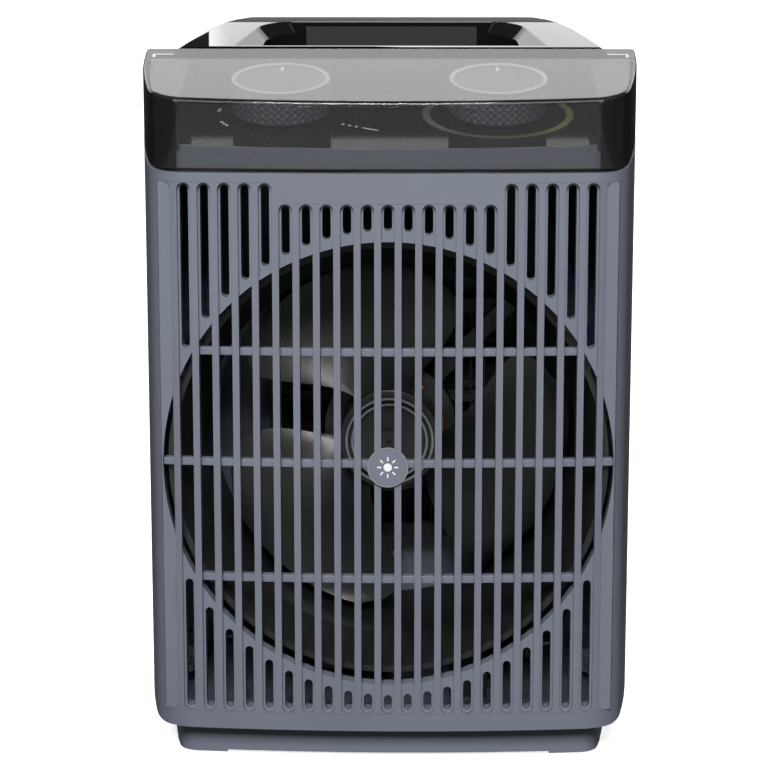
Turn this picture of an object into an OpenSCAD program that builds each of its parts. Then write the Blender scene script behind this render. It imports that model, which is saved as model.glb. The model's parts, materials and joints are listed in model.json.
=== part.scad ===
// Ceramic space heater: bowed front with a slotted outlet grille, a clear lid over
// two knobs, a carry handle behind the lid, and a fan, motor and heating pack inside.
// Origin: middle of the footprint on the floor. +Z is up and the outlet faces -Y.
// "d" is a depth behind the crest of the front face. "h" is a height above the
// sloping top plane, and "l" is a distance up that slope from its front edge.

/* [Body] */
// Width at the widest point of the sides
body_w = 207; // [170:1:250]
// Depth from the crest of the front face to the back
body_d = 126; // [105:1:152]
// Height of the casing's front top edge
casing_top = 247; // [205:1:300]
// Height of the casing's lower edge
casing_bottom = 14.2; // [12:0.1:18]
// Wall thickness of the casings
wall = 2.6; // [2.1:0.1:3.2]
// Radius of the front face's bow, seen from above
bow_r = 750; // [600:10:950]
// Radius of each side's bow, seen from above
side_r = 210; // [175:1:260]
// Radius of the front corners
front_corner_r = 19; // [16:0.5:23]
// Radius of the rear corners
rear_corner_r = 46; // [38:1:56]
// Radius of the lower side edges
lower_edge_r = 11; // [9:0.5:14]
// Depth at which the sides are widest and the two casings meet
split_d = 66; // [60:1:75]

/* [Top] */
// Slope of the top, rising to the back
top_slope = 14.5; // [12:0.5:17]
// Height of the lid's front wall
lid_front_h = 28.6; // [25:0.1:34]
// Length of the lid up the slope
lid_l = 71.2; // [66:0.1:80]
// Thickness of the lid's walls
lid_t = 2.2; // [1.8:0.1:2.8]
// How far the lid swings open
lid_open = 115; // [90:1:115]
// Gap behind the lid, in which its rear edge turns
lid_gap = 2.5; // [2.4:0.1:3]
// Depth of the control panel below the top plane
panel_drop = 20; // [19:0.1:24]
// Thickness of the control panel
panel_t = 1.8; // [1.5:0.1:2.4]

/* [Knobs] */
// Diameter of each knob
knob_d = 41.2; // [34:0.1:49]
// Height of each knob
knob_h = 15.2; // [12.5:0.1:15.8]
// Distance of each knob from the middle
knob_x = 45.2; // [38:0.1:50]
// Distance of the knobs' axes up the slope
knob_l = 45; // [38:0.1:48]
// Diameter of the switch shafts
shaft_d = 6; // [5:0.1:7]
// Outer diameter of the dial ring round the right knob
dial_d = 63; // [58:0.1:67]

/* [Grille] */
// Distance between neighbouring slots
slot_pitch = 8.25; // [7:0.05:9.9]
// Width of each slot
slot_w = 5.5; // [4.6:0.1:6.2]
// Height of the lower ends of the slots
slot_bottom = 21.7; // [20.5:0.1:26]
// How far the tall slots end below the casing's top edge
tall_drop = 4; // [3.4:0.1:5]
// How far the short slots end below the casing's top edge
short_drop = 12.4; // [11:0.1:15]
// Number of short slots on each side of the middle one
short_slots = 5; // [3:1:6]
// Depth of the grille floor behind the front face
floor_d = 7; // [6:0.1:8.4]
// Thickness of the grille floor
floor_t = 2; // [1.7:0.1:2.4]
// Width of the pockets in the floor
pocket_w = 3.1; // [2.6:0.1:3.7]
// Least distance from the outlet circle to the casing's side
outlet_side = 10.75; // [10:0.05:13]
// Distance from the outlet circle down to the slots' lower ends
outlet_below = 12.05; // [10:0.05:14]
// Distance from the outlet circle up to the short slots' upper ends
outlet_above = 15.35; // [13:0.05:18]
// Height of each cross bar
cross_h = 3.2; // [2.7:0.1:3.8]
// Diameter of the round badge
badge_d = 16.7; // [14:0.1:20]

/* [Base] */
// Set-back of the plinth from the casing
plinth_inset = 9.5; // [8:0.1:11]
// Clearance under the plinth between its feet
plinth_lift = 1.5; // [1.2:0.1:2]
// Length of each foot along the plinth's front
foot_l = 26; // [22:1:31]

/* [Fan] */
// Step from the outlet circle in to the duct
duct_step = 12.4; // [11:0.1:14]
// Wall thickness of the duct
duct_t = 2.2; // [1.8:0.1:2.6]
// Clearance at the tips of the blades
tip_clear = 3; // [2.4:0.1:3.6]
// Number of blades
blades = 3; // [3:1:5]
// Depth of the fan wheel
wheel_depth = 26; // [22:1:31]
// Diameter of the fan wheel's hub
hub_d = 44; // [37:1:52]
// Diameter of the motor
motor_d = 58; // [49:1:69]
// Length of the motor
motor_l = 20; // [17:1:24]
// Diameter of the motor shaft
motor_shaft_d = 5; // [4.2:0.1:6]

/* [Heating pack] */
// Depth of the heating pack
pack_depth = 12; // [10:0.5:14]
// Number of ceramic rows
rows = 4; // [3:1:5]
// Height of each ceramic row with its electrodes
row_h = 4; // [3.4:0.1:4.8]

/* [Hidden] */
$fn = 64;

// Colours
slate = [0.36, 0.41, 0.48];
gloss_black = [0.05, 0.05, 0.06];
smoke = [0.3, 0.3, 0.32, 0.45];
steel = [0.7, 0.7, 0.72];
dark = [0.13, 0.13, 0.14];

// Fits and gaps
far = 400;                 // beyond every piece
part_gap = 0.3;            // between neighbouring mouldings
lid_gap_low = 0.8;         // under the lid's walls
run_fit = 0.05;            // round a shaft or a pin, on the radius
pin_r = 1.5;
screw_r = 1.5;
screw_head_r = 3;
boss_r = 4;

// Body
half_w = body_w / 2;
badge_proud = 1.4;
front_y = -(body_d - badge_proud) / 2;
rear_r = 600;
flat_d = 10;               // depth at which the casing's top edge starts to rise
slope_tan = tan(top_slope);
slope_cos = cos(top_slope);
top_z = casing_top + lid_front_h;

// Grille
side_slots = floor((half_w - 12) / slot_pitch);
slot_top_tall = casing_top - tall_drop;
slot_top_short = casing_top - short_drop;
insert_half = side_slots * slot_pitch + slot_w / 2;
slot_overrun = 1.6;        // how far the slots' ends pass the insert's edge
outlet_r = min(half_w - outlet_side, (slot_top_short - slot_bottom - outlet_below - outlet_above) / 2);
outlet_z = slot_bottom + outlet_below + outlet_r;
pocket_margin = 4.5;       // from the outlet circle to the pockets
pocket_end = 2;            // from a slot's end to its pocket's end
cross_d = 4.5;             // depth of the cross bars' front faces
cross_t = 4;
cross_mid = outlet_z + 0.7;
cross_up = 0.5 * outlet_r;
cross_down = 0.527 * outlet_r;

// Top
lid_end_l = lid_l + lid_gap;
pivot_l = lid_l - 4.2;
pivot_h = -4;
cheek_inner = half_w - 19;
cheek_top_h = -lid_t - 1;
cheek_inset = lid_t + 1;
deck_t = 2;
deck_h = -panel_drop - panel_t - 0.1;
panel_front_inset = cheek_inset + 3;
slab_h = -(top_z + flat_d * slope_tan - casing_top) * slope_cos;
ring_top_inset = 11;
rear_l = (body_d - ring_top_inset + 2) / slope_cos;
bar_depth = 11.5;
pocket_l1 = rear_l - bar_depth + 1.5;
pocket_depth = 25;
opening_front = 63;
opening_rear = 54.5;
grip_w = 75;

// Fan, motor and heating pack, stacked forward from the back wall
fan_z = outlet_z;
duct_r = outlet_r - duct_step;
wheel_r = duct_r - tip_clear;
filter_d0 = body_d - wall - 5.2;
pack_d1 = filter_d0 - 1.5;
pack_d0 = pack_d1 - pack_depth;
bracket_t = 3;
bracket_d1 = pack_d0 - 1;
bracket_d0 = bracket_d1 - bracket_t;
motor_d1 = bracket_d0;
motor_d0 = motor_d1 - motor_l;
wheel_d1 = motor_d0 - 2;
wheel_d0 = wheel_d1 - wheel_depth;
duct_d0 = wheel_d0 - 14;
flange_r = outlet_r - 1.5;
flange_d = floor_d + floor_t + bow_r - sqrt(bow_r * bow_r - flange_r * flange_r) + 0.4;
duct_d1 = bracket_d1;
hub_r = hub_d / 2;
pack_half = (duct_r - 3) * cos(45);

// Plan outline of the body: arcs that meet smoothly, each moved in by "inset"
function arc(c, r, a, b, n) = [for (i = [1 : n]) c + r * [cos(a + (b - a) * i / n), sin(a + (b - a) * i / n)]];
function circles_meet(p, a, q, b, s) = let (
    v = q - p,
    l = norm(v),
    t = (a * a - b * b + l * l) / (2 * l),
    k = sqrt(a * a - t * t),
    u = v / l) p + u * t + s * k * [-u[1], u[0]];
function right_one(u, v) = u[0] > v[0] ? u : v;
function bearing(from, to) = atan2(to[1] - from[1], to[0] - from[0]);
bow_c = [0, bow_r];
side_c = [half_w - side_r, split_d];
rear_c = [0, body_d - rear_r];
corner_a = right_one(
    circles_meet(bow_c, bow_r - front_corner_r, side_c, side_r - front_corner_r, 1),
    circles_meet(bow_c, bow_r - front_corner_r, side_c, side_r - front_corner_r, -1));
corner_b = right_one(
    circles_meet(rear_c, rear_r - rear_corner_r, side_c, side_r - rear_corner_r, 1),
    circles_meet(rear_c, rear_r - rear_corner_r, side_c, side_r - rear_corner_r, -1));
turn_a = bearing(bow_c, corner_a);
turn_b = bearing(side_c, corner_a);
turn_c = bearing(side_c, corner_b);
turn_d = bearing(rear_c, corner_b);
function half_outline(inset) = concat(
    [[0, inset]],
    arc(bow_c, bow_r - inset, -90, turn_a, 8),
    arc(corner_a, front_corner_r - inset, turn_a, turn_b, 8),
    arc(side_c, side_r - inset, turn_b, turn_c, 8),
    arc(corner_b, rear_corner_r - inset, turn_c, turn_d, 10),
    arc(rear_c, rear_r - inset, turn_d, 90, 4));
function outline(inset) = let (
    half = half_outline(inset),
    last = len(half) - 1) concat(half, [for (i = [last - 1 : -1 : 1]) [-half[i][0], half[i][1]]]);

// Bow of the front face, without the corners: the strip between two depths
function bow_strip(d0, d1) = concat(
    [for (x = [-112 : 8 : 112]) [x, bow_r + -sqrt(pow(bow_r - d0, 2) - x * x)]],
    [for (x = [112 : -8 : -112]) [x, bow_r + -sqrt(pow(bow_r - d1, 2) - x * x)]]);

// The body's outline as an upright prism
module prism(inset, z0 = 0, z1 = far) {
    translate([0, front_y, z0]) linear_extrude(z1 - z0) polygon(outline(inset));
}

// A profile in X and Z, run along Y from one depth to another
module along_y(d0, d1) {
    translate([0, front_y + d1, 0]) rotate([90, 0, 0]) linear_extrude(d1 - d0) children();
}

// A profile in depth and Z, run along X over the whole width
module along_x(x0, x1) {
    translate([x0, front_y, 0]) rotate([90, 0, 90]) linear_extrude(x1 - x0) children();
}

// Children drawn in the frame of the sloping top
module on_top(x = 0, l = 0, h = 0) {
    translate([0, front_y, top_z]) rotate([top_slope, 0, 0]) translate([x, l, h]) children();
}

// Everything between two planes that are parallel to the top
module top_slab(h0, h1, l0 = -60, l1 = far) {
    on_top(-far / 2, l0, h0) cube([far, l1 - l0, h1 - h0]);
}

// Everything under the casing's top edge, moved up by "lift"
module under_casing_top(lift) {
    along_x(-far / 2, far / 2) polygon([
        [-30, -10], [-30, casing_top + lift], [flat_d, casing_top + lift],
        [far, casing_top + lift + (far - flat_d) * slope_tan], [far, -10]]);
}

// The casing's section in X and Z, with its rounded lower edges
module lower_edges(inset, z0) {
    r = lower_edge_r - inset;
    w = half_w - inset;
    along_y(-20, body_d + 20) polygon(concat(
        [[w - r, z0]],
        arc([w - r, z0 + r], r, -90, 0, 8),
        [[w + 3, z0 + r + 3], [w + 3, far], [-w - 3, far], [-w - 3, z0 + r + 3]],
        [[-w, z0 + r]],
        arc([-w + r, z0 + r], r, 180, 270, 8)));
}

module body_form(inset, z0, z1 = far) {
    intersection() {
        prism(inset, z0, z1);
        lower_edges(inset, z0);
    }
}

// A round bar or hole along Y at a depth range
module rod_y(r, d0, d1, x = 0, z = 0) {
    translate([x, front_y + d1, z]) rotate([90, 0, 0]) cylinder(r = r, h = d1 - d0);
}

module box_d(x0, x1, d0, d1, z0, z1) {
    translate([x0, front_y + d0, z0]) cube([x1 - x0, d1 - d0, z1 - z0]);
}

// ---- Grille ----

module stadium(w, z0, z1) {
    translate([-w / 2, z0 + w / 2]) square([w, z1 - z0 - w]);
    translate([0, z0 + w / 2]) circle(d = w);
    translate([0, z1 - w / 2]) circle(d = w);
}

function slot_end(i) = abs(i) > short_slots ? slot_top_tall : slot_top_short;

module slots() {
    along_y(-20, 30) for (i = [-side_slots : side_slots])
        translate([i * slot_pitch, 0]) stadium(slot_w, slot_bottom, slot_end(i));
}

// Height of the pocket circle's edge above the fan axis at x
function pocket_rise(x) = let (r = outlet_r + pocket_margin) abs(x) < r ? sqrt(r * r - x * x) : 0;

module pockets() {
    for (i = [-side_slots + 1 : side_slots - 1]) {
        x = i * slot_pitch;
        rise = pocket_rise(x);
        low = slot_bottom + pocket_end;
        high = slot_end(i) - pocket_end;
        translate([x, 0]) {
            if (rise > 4 * pocket_w) {
                stadium(pocket_w, outlet_z + rise, high);
                stadium(pocket_w, low, outlet_z - rise);
            } else {
                stadium(pocket_w, low, high);
            }
        }
    }
}

// Edge of the grille insert: it steps up beside the short slots
module insert_edge(grow) {
    x_in = (short_slots + 0.55) * slot_pitch;
    x_out = x_in + short_drop - tall_drop;
    w = insert_half + grow;
    z0 = slot_bottom + slot_overrun - grow;
    z1 = slot_top_short - slot_overrun + grow;
    z2 = slot_top_tall - slot_overrun + grow;
    polygon([[-w, z0], [w, z0], [w, z2], [x_out, z2], [x_in, z1], [-x_in, z1], [-x_out, z2], [-w, z2]]);
}

module strip(d0, d1) {
    translate([0, front_y, 0]) linear_extrude(far) polygon(bow_strip(d0, d1));
}

module front_grille() {
    color(slate) {
        difference() {
            intersection() {
                prism(0, 0, far);
                strip(-15, floor_d + floor_t);
                along_y(-5, 40) insert_edge(0);
            }
            intersection() {
                slots();
                strip(-20, floor_d);
            }
            intersection() {
                rod_y(outlet_r, 0, 40, 0, outlet_z);
                strip(floor_d - 0.1, 40);
            }
            along_y(floor_d - 0.5, 40) pockets();
        }
        for (z = [cross_mid - cross_down, cross_mid, cross_mid + cross_up]) intersection() {
            strip(cross_d, cross_d + cross_t);
            box_d(-far, far, 0, 40, z - cross_h / 2, z + cross_h / 2);
            rod_y(outlet_r + 1, 0, 40, 0, outlet_z);
            along_y(0, 40) insert_edge(0);
        }
    }
}

module grille_badge() {
    color(slate) difference() {
        union() {
            rod_y(badge_d / 2 - 0.7, -badge_proud, -0.02, 0, cross_mid);
            rod_y(slot_w / 2 - 0.4, -0.5, cross_d - 0.1, 0, cross_mid);
        }
        along_y(-badge_proud - 1, -badge_proud + 0.4) mark_shape(0.05);
    }
}

module badge_rim() {
    color(steel) difference() {
        rod_y(badge_d / 2, -badge_proud, -0.02, 0, cross_mid);
        rod_y(badge_d / 2 - 0.65, -badge_proud - 1, 1, 0, cross_mid);
    }
}

// A plain sun: a disc with eight short rays
module mark_shape(grow) {
    translate([0, cross_mid]) {
        circle(r = 1.7 + grow, $fn = 32);
        for (a = [0 : 45 : 315]) rotate(a)
            translate([2.7 - grow, -0.3 - grow]) square([1.6 + 2 * grow, 0.6 + 2 * grow]);
    }
}

module badge_mark() {
    color("white") along_y(-badge_proud, -badge_proud + 0.38) mark_shape(0);
}

// ---- Casings ----

casing_bosses = [for (s = [-1, 1]) for (z = [casing_bottom + wall + 8, casing_top - 6]) [s * (half_w - 16), z]];
plunger_x = 34;
plunger_d = split_d - 22;
plunger_r = 3;
plinth_screw_at = [for (s = [-1, 1]) for (d = [split_d - 30, split_d + 30]) [s * 62, d]];

module casing_shell() {
    difference() {
        intersection() {
            body_form(0, casing_bottom);
            under_casing_top(0);
        }
        body_form(wall, casing_bottom + wall);
        for (p = plinth_screw_at) translate([p[0], front_y + p[1], 0]) cylinder(r = screw_r + 0.2, h = 30);
        translate([plunger_x, front_y + plunger_d, 0]) cylinder(r = plunger_r + 0.6, h = 30);
    }
}

module front_casing() {
    color(slate) {
        difference() {
            intersection() {
                casing_shell();
                box_d(-far, far, -20, split_d - part_gap / 2, 0, far);
            }
            along_y(-20, 22) insert_edge(part_gap);
            intersection() {
                slots();
                strip(-20, floor_d);
            }
        }
        for (p = casing_bosses) difference() {
            union() {
                rod_y(boss_r, split_d - 32, split_d - part_gap / 2, p[0], p[1]);
                intersection() {
                    box_d(p[0] > 0 ? p[0] : -far, p[0] > 0 ? far : p[0],
                        split_d - 32, split_d - 4, p[1] - 1, p[1] + 1);
                    body_form(wall - 0.5, casing_bottom + wall - 0.5);
                }
            }
            rod_y(screw_r + run_fit, split_d - 16, split_d + 1, p[0], p[1]);
        }
    }
}

intake_w = 2 * pack_half - 4;
intake_z0 = fan_z - pack_half + 2;
intake_z1 = fan_z + pack_half - 2;
inlet_x = 62;
inlet_z = casing_bottom + wall + 15;
inlet_r = 6;

module rear_casing() {
    color(slate) {
        difference() {
            intersection() {
                casing_shell();
                box_d(-far, far, split_d + part_gap / 2, far, 0, far);
            }
            box_d(-intake_w / 2, intake_w / 2, split_d + 20, far, intake_z0, intake_z1);
            rod_y(inlet_r + part_gap / 3, body_d - 40, body_d + 10, -inlet_x, inlet_z);
            for (p = casing_bosses) rod_y(screw_head_r + 0.4, split_d + 12, far, p[0], p[1]);
        }
        for (p = casing_bosses) difference() {
            intersection() {
                rod_y(boss_r + 1.4, split_d + part_gap / 2, far / 2, p[0], p[1]);
                body_form(0.4, casing_bottom + 0.4);
            }
            rod_y(screw_r + 0.2, split_d - 1, far, p[0], p[1]);
            rod_y(screw_head_r + 0.4, split_d + 12, far, p[0], p[1]);
        }
    }
}

module casing_screws() {
    color(steel) for (p = casing_bosses) difference() {
        union() {
            rod_y(screw_r, split_d - 14, split_d + 12.5, p[0], p[1]);
            rod_y(screw_head_r, split_d + 12.1, split_d + 14.6, p[0], p[1]);
        }
        box_d(p[0] - 0.4, p[0] + 0.4, split_d + 13.6, split_d + 15, p[1] - 2, p[1] + 2);
        box_d(p[0] - 2, p[0] + 2, split_d + 13.6, split_d + 15, p[1] - 0.4, p[1] + 0.4);
    }
}

module intake_grille() {
    w = intake_w / 2 - part_gap;
    z0 = intake_z0 + part_gap;
    z1 = intake_z1 - part_gap;
    bars = floor((z1 - z0 - 6) / 6.2);
    pitch = (z1 - z0 - 6) / bars;
    color(slate) difference() {
        box_d(-w, w, body_d - wall - 2.2, body_d - 1, z0, z1);
        for (i = [0 : bars - 1]) for (s = [-1, 0, 1])
            translate([s * (2 * w - 4) / 3, 0, 0])
                box_d(-(2 * w - 4) / 6 + 1.2, (2 * w - 4) / 6 - 1.2, body_d - 20, body_d + 5,
                    z0 + 3 + i * pitch + 0.9, z0 + 3 + (i + 1) * pitch - 0.9);
    }
}

module dust_filter() {
    w = intake_w / 2 + 3;
    z0 = intake_z0 - 3;
    z1 = intake_z1 + 3;
    n = 8;
    color(dark) {
        difference() {
            box_d(-w, w, filter_d0, filter_d0 + 2, z0, z1);
            box_d(-w + 4, w - 4, filter_d0 - 1, filter_d0 + 3, z0 + 4, z1 - 4);
        }
        for (i = [1 : n - 1]) {
            x = -w + 2 * w * i / n;
            z = z0 + (z1 - z0) * i / n;
            box_d(x - 0.5, x + 0.5, filter_d0 + 0.4, filter_d0 + 1.4, z0 + 3, z1 - 3);
            box_d(-w + 3, w - 3, filter_d0 + 0.4, filter_d0 + 1.4, z - 0.5, z + 0.5);
        }
    }
}

module cord_inlet() {
    color(dark) difference() {
        union() {
            rod_y(inlet_r, body_d - 26, body_d - 3, -inlet_x, inlet_z);
            rod_y(inlet_r + 2, body_d - 26, body_d - 22, -inlet_x, inlet_z);
        }
        rod_y(3.6, body_d - 40, far, -inlet_x, inlet_z);
    }
}

// ---- Base ----

module base_plinth() {
    foot_x = half_w - plinth_inset - foot_l;
    color(slate) difference() {
        union() {
            prism(plinth_inset, plinth_lift, casing_bottom);
            intersection() {
                prism(plinth_inset, 0.6, casing_bottom - 1);
                union() for (s = [-1, 1]) for (end = [0, 1])
                    box_d(s > 0 ? foot_x : -far, s > 0 ? far : -foot_x,
                        end ? body_d - plinth_inset - 26 : 0, end ? far : plinth_inset + 22, 0, 20);
            }
        }
        prism(plinth_inset + wall, plinth_lift + wall);
        for (p = plinth_screw_at) translate([p[0], front_y + p[1], 0]) {
            cylinder(r = screw_r + 0.2, h = 30);
            cylinder(r = screw_head_r + 0.4, h = plinth_lift + wall - 1);
        }
        translate([plunger_x, front_y + plunger_d, 0]) cylinder(r = plunger_r + 0.3, h = 30);
        for (p = pad_at) translate([p[0], front_y + p[1], 0]) cylinder(r = pad_r + 0.1, h = 1.4);
    }
}

pad_r = 6;
pad_x = half_w - plinth_inset - 15;
pad_at = [for (s = [-1, 1]) for (d = [plinth_inset + 14, body_d - plinth_inset - 16]) [s * pad_x * (d > 60 ? 0.88 : 1), d]];

module rubber_feet() {
    color(dark) for (p = pad_at) translate([p[0], front_y + p[1], 0]) cylinder(r = pad_r, h = 1.35);
}

module plinth_screws() {
    color(steel) for (p = plinth_screw_at) translate([p[0], front_y + p[1], 0]) {
        translate([0, 0, plinth_lift + 0.2]) cylinder(r = screw_head_r, h = wall - 1.3);
        translate([0, 0, plinth_lift + 0.5]) cylinder(r = screw_r, h = casing_bottom + wall + 2);
    }
}

// ---- Top ----

module top_bezel() {
    color(slate) difference() {
        union() {
            intersection() {
                prism(cheek_inset, casing_bottom);
                top_slab(-far, deck_h + 0.02, -60, lid_end_l - part_gap);
                difference() {
                    prism(cheek_inset);
                    under_casing_top(0.01);
                }
            }
            intersection() {
                prism(cheek_inset + 1.4, casing_bottom);
                box_d(part_gap - cheek_inner, cheek_inner - part_gap, 0, far, 0, far);
                top_slab(-far, -panel_drop, -60, lid_end_l - part_gap);
                difference() {
                    prism(cheek_inset);
                    under_casing_top(0.01);
                }
            }
            intersection() {
                prism(wall + part_gap);
                top_slab(-far, deck_h, -60, lid_end_l - part_gap);
                difference() {
                    under_casing_top(1);
                    under_casing_top(-4);
                }
            }
        }
        intersection() {
            prism(cheek_inset + 1.4 + 2);
            top_slab(-far, deck_h - deck_t, -60, far);
        }
        intersection() {
            prism(panel_front_inset - 0.15);
            top_slab(deck_h, 0, -60, far);
        }
        for (s = [-1, 1]) on_top(s * knob_x, knob_l, deck_h - 10) cylinder(d = 13, h = 20);
    }
}

module control_panel() {
    step_l = knob_l + 11;
    color(gloss_black) difference() {
        intersection() {
            prism(panel_front_inset);
            top_slab(-panel_drop - panel_t, -panel_drop, -20, lid_end_l - 1);
            box_d(-cheek_inner + part_gap, cheek_inner - part_gap, 0, far, 0, far);
        }
        for (s = [-1, 1]) on_top(s * knob_x, knob_l, -panel_drop - 5) cylinder(d = 9.4, h = 10);
        on_top(knob_x, knob_l, -panel_drop - 0.4) dial_shape(0.05, 1);
        on_top(-knob_x, knob_l, -panel_drop - 0.3) marks_shape(0.04, 1);
        on_top(-far, step_l, -panel_drop - 0.3) cube([2 * far, 0.6, 1]);
    }
}

// Ring sector round the right knob
module dial_shape(grow, h) {
    r = dial_d / 2;
    difference() {
        cylinder(r = r + grow, h = h);
        translate([0, 0, -1]) cylinder(r = r - 3 - grow, h = h + 2);
        translate([0, 0, -1]) linear_extrude(h + 2) polygon([[0, 0], [-far / 4, far / 8], [0, far / 4], [far / 4, far / 8]]);
    }
}

module dial_ring() {
    color([0.62, 0.66, 0.3]) on_top(knob_x, knob_l, -panel_drop - 0.38) dial_shape(0, 0.42);
}

// Generic setting marks round the left knob: dots and bars of growing number
module marks_shape(grow, h) {
    r = knob_d / 2 + 6;
    for (k = [1 : 3]) for (j = [0 : k - 1]) rotate(-90 + k * 40 - (k - 1) * 2.5 + j * 5 - 180)
        translate([r, 0, 0]) cylinder(r = 0.75 + grow, h = h, $fn = 24);
    for (j = [0 : 2]) rotate(-28) translate([r + 3 + j * 3.2, 0, 0]) cylinder(r = 0.7 + grow, h = h, $fn = 24);
    rotate(-28) translate([r + 12.5 - grow, -0.5 - grow, 0]) cube([7 + 2 * grow, 1 + 2 * grow, h]);
}

module panel_marks() {
    color("silver") on_top(-knob_x, knob_l, -panel_drop - 0.28) marks_shape(0, 0.3);
}

module lid_outer() {
    difference() {
        intersection() {
            prism(0);
            top_slab(-60, 0, -60, lid_l);
        }
        under_casing_top(lid_gap_low);
        top_slab(-60, pivot_h - 4, pivot_l + 2, far);
    }
}

module lid() {
    color(smoke) difference() {
        union() {
            difference() {
                lid_outer();
                intersection() {
                    prism(lid_t);
                    top_slab(-60, -lid_t, -60, lid_l + 5);
                }
            }
            intersection() {
                lid_outer();
                for (s = [-1, 1]) on_top(s * half_w, pivot_l, pivot_h) rotate([0, 90, 0])
                    cylinder(r = 3, h = 2 * lid_t + 1, center = true);
            }
        }
        for (s = [-1, 1]) on_top(s * half_w, pivot_l, pivot_h) rotate([0, 90, 0])
            cylinder(r = pin_r + run_fit, h = 20, center = true);
    }
}

module lid_hinge_pins() {
    color(steel) for (s = [-1, 1]) on_top(s * (half_w - 6.8), pivot_l, pivot_h) rotate([0, 90, 0])
        cylinder(r = pin_r, h = 12, center = true);
}

// Handle opening in the frame of the top, wide in front and narrower behind
module opening_shape(grow) {
    r = 16;
    w0 = opening_front + grow;
    w1 = opening_rear + grow;
    l0 = lid_end_l + 2 - grow;
    l1 = pocket_l1 + grow;
    polygon(concat(
        [[w0, l0]],
        arc([w1 - r, l1 - r], r, 0, 90, 8),
        arc([-w1 + r, l1 - r], r, 90, 180, 8),
        [[-w0, l0]]));
}

// Outer form of the ring behind the lid: upright below, drawn in towards the top
module ring_form(inset) {
    steps = [[slab_h + part_gap, 0.4], [-16, 1.5], [-6, 5], [-1.6, 8.6], [0, ring_top_inset]];
    intersection() {
        hull() for (s = steps) intersection() {
            prism(s[1] + inset);
            top_slab(s[0] - inset - 0.02, s[0] - inset, lid_end_l);
        }
        top_slab(-60, 2, lid_end_l);
    }
}

module top_housing() {
    undercut = 8;
    color(gloss_black) difference() {
        union() {
            difference() {
                ring_form(0);
                intersection() {
                    translate([0, 0, -3]) ring_form(2.4);
                    top_slab(-60, 2, lid_end_l + 2.4);
                }
            }
            intersection() {
                ring_form(1);
                union() {
                    on_top(0, 0, -pocket_depth - 2.2) linear_extrude(pocket_depth + 2) opening_shape(2.2);
                    on_top(-opening_rear - 2.2, pocket_l1 - 5, -pocket_depth - 2.2)
                        cube([2 * opening_rear + 4.4, 5 + undercut + 2.2, pocket_depth - 8]);
                }
            }
            cheeks();
        }
        on_top(0, 0, -pocket_depth) linear_extrude(pocket_depth + 5) opening_shape(0);
        on_top(-opening_rear, pocket_l1 - 5, -pocket_depth) cube([2 * opening_rear, 5 + undercut, pocket_depth - 12.4]);
        on_top(-grip_w / 2 - 0.1, pocket_l1 - 1, -12.4 - 1) cube([grip_w + 0.2, 2.5, 11.4]);
        for (s = [-1, 1]) on_top(s * (half_w - 6.8), pivot_l, pivot_h) rotate([0, 90, 0])
            cylinder(r = pin_r, h = 12.04, center = true);
    }
}

// What the lid's rear edge sweeps behind its pins, seen from the side: "l" and "h" from the pivot
module lid_sweep() {
    edge = [lid_l - pivot_l, -pivot_h - lid_t];
    reach = norm([edge[0], pivot_h]) + 0.6;
    front = norm(edge) * cos(atan2(edge[1], edge[0]) - lid_open) - 0.45;
    polygon([
        [0.1, -pivot_h], [0.1, -2.8], [min(0.1, front), -3.8], [min(0.1, front), -reach],
        [lid_end_l - pivot_l, -reach], [lid_end_l - pivot_l, -pivot_h]]);
}

// Side cheeks that run forward under the lid and carry its hinge pins
module cheeks() {
    difference() {
        intersection() {
            prism(cheek_inset);
            top_slab(deck_h + 0.1, cheek_top_h, -20, lid_end_l + 4);
        }
        box_d(-cheek_inner, cheek_inner, -20, far, 0, far);
        on_top(-far / 2, pivot_l, pivot_h) rotate([90, 0, 90]) linear_extrude(far) lid_sweep();
        intersection() {
            prism(cheek_inset + 2.4);
            top_slab(-60, cheek_top_h - 2.2, -20, lid_end_l - 10);
            difference() {
                box_d(-far, far, -20, far, 0, far);
                box_d(-cheek_inner - 2.4, cheek_inner + 2.4, -20, far, 0, far);
            }
        }
    }
}

module handle_grip() {
    color(dark) on_top(-grip_w / 2, pocket_l1 - 0.02, -12.3 - 1) cube([grip_w, 1.4, 11.2]);
}

// ---- Knobs and switches ----

module knob() {
    r = knob_d / 2;
    color(slate) difference() {
        rotate_extrude($fn = 96) polygon([
            [0, 0], [r - 0.6, 0], [r, 0.8], [r, knob_h - 1.4], [r - 0.9, knob_h], [r - 2.2, knob_h],
            [r - 3.4, knob_h - 1], [0, knob_h - 1]]);
        translate([0, 0, -1]) cylinder(r = r - 3, h = knob_h - 4);
        translate([-0.75, r - 8.6, knob_h - 1.4]) cube([1.5, 5, 2]);
    }
    color(slate) difference() {
        translate([0, 0, 1]) cylinder(d = shaft_d + 4, h = knob_h - 4);
        translate([0, 0, -1]) cylinder(d = shaft_d + 2 * run_fit, h = knob_h - 4);
    }
}

module pointer() {
    r = knob_d / 2;
    color("white") translate([-0.7, r - 8.5, knob_h - 1.38]) cube([1.4, 4.8, 0.4]);
}

module knob_shaft() {
    color(steel) translate([0, 0, -14]) cylinder(d = shaft_d, h = 14 + knob_h - 5.2);
}

knob_lift = 0.6;           // between the knobs and the panel
module at_knob(side) {
    on_top(side * knob_x, knob_l, -panel_drop + knob_lift) children();
}

module power_knob() { at_knob(-1) knob(); }
module power_pointer() { at_knob(-1) pointer(); }
module power_shaft() { at_knob(-1) knob_shaft(); }
module thermostat_knob() { at_knob(1) knob(); }
module thermostat_pointer() { at_knob(1) pointer(); }
module thermostat_shaft() { at_knob(1) knob_shaft(); }

// Threaded bush that holds a switch under the deck
bush_r = 4.5;
switch_h = -panel_drop - panel_t - deck_t - 0.2;

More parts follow.
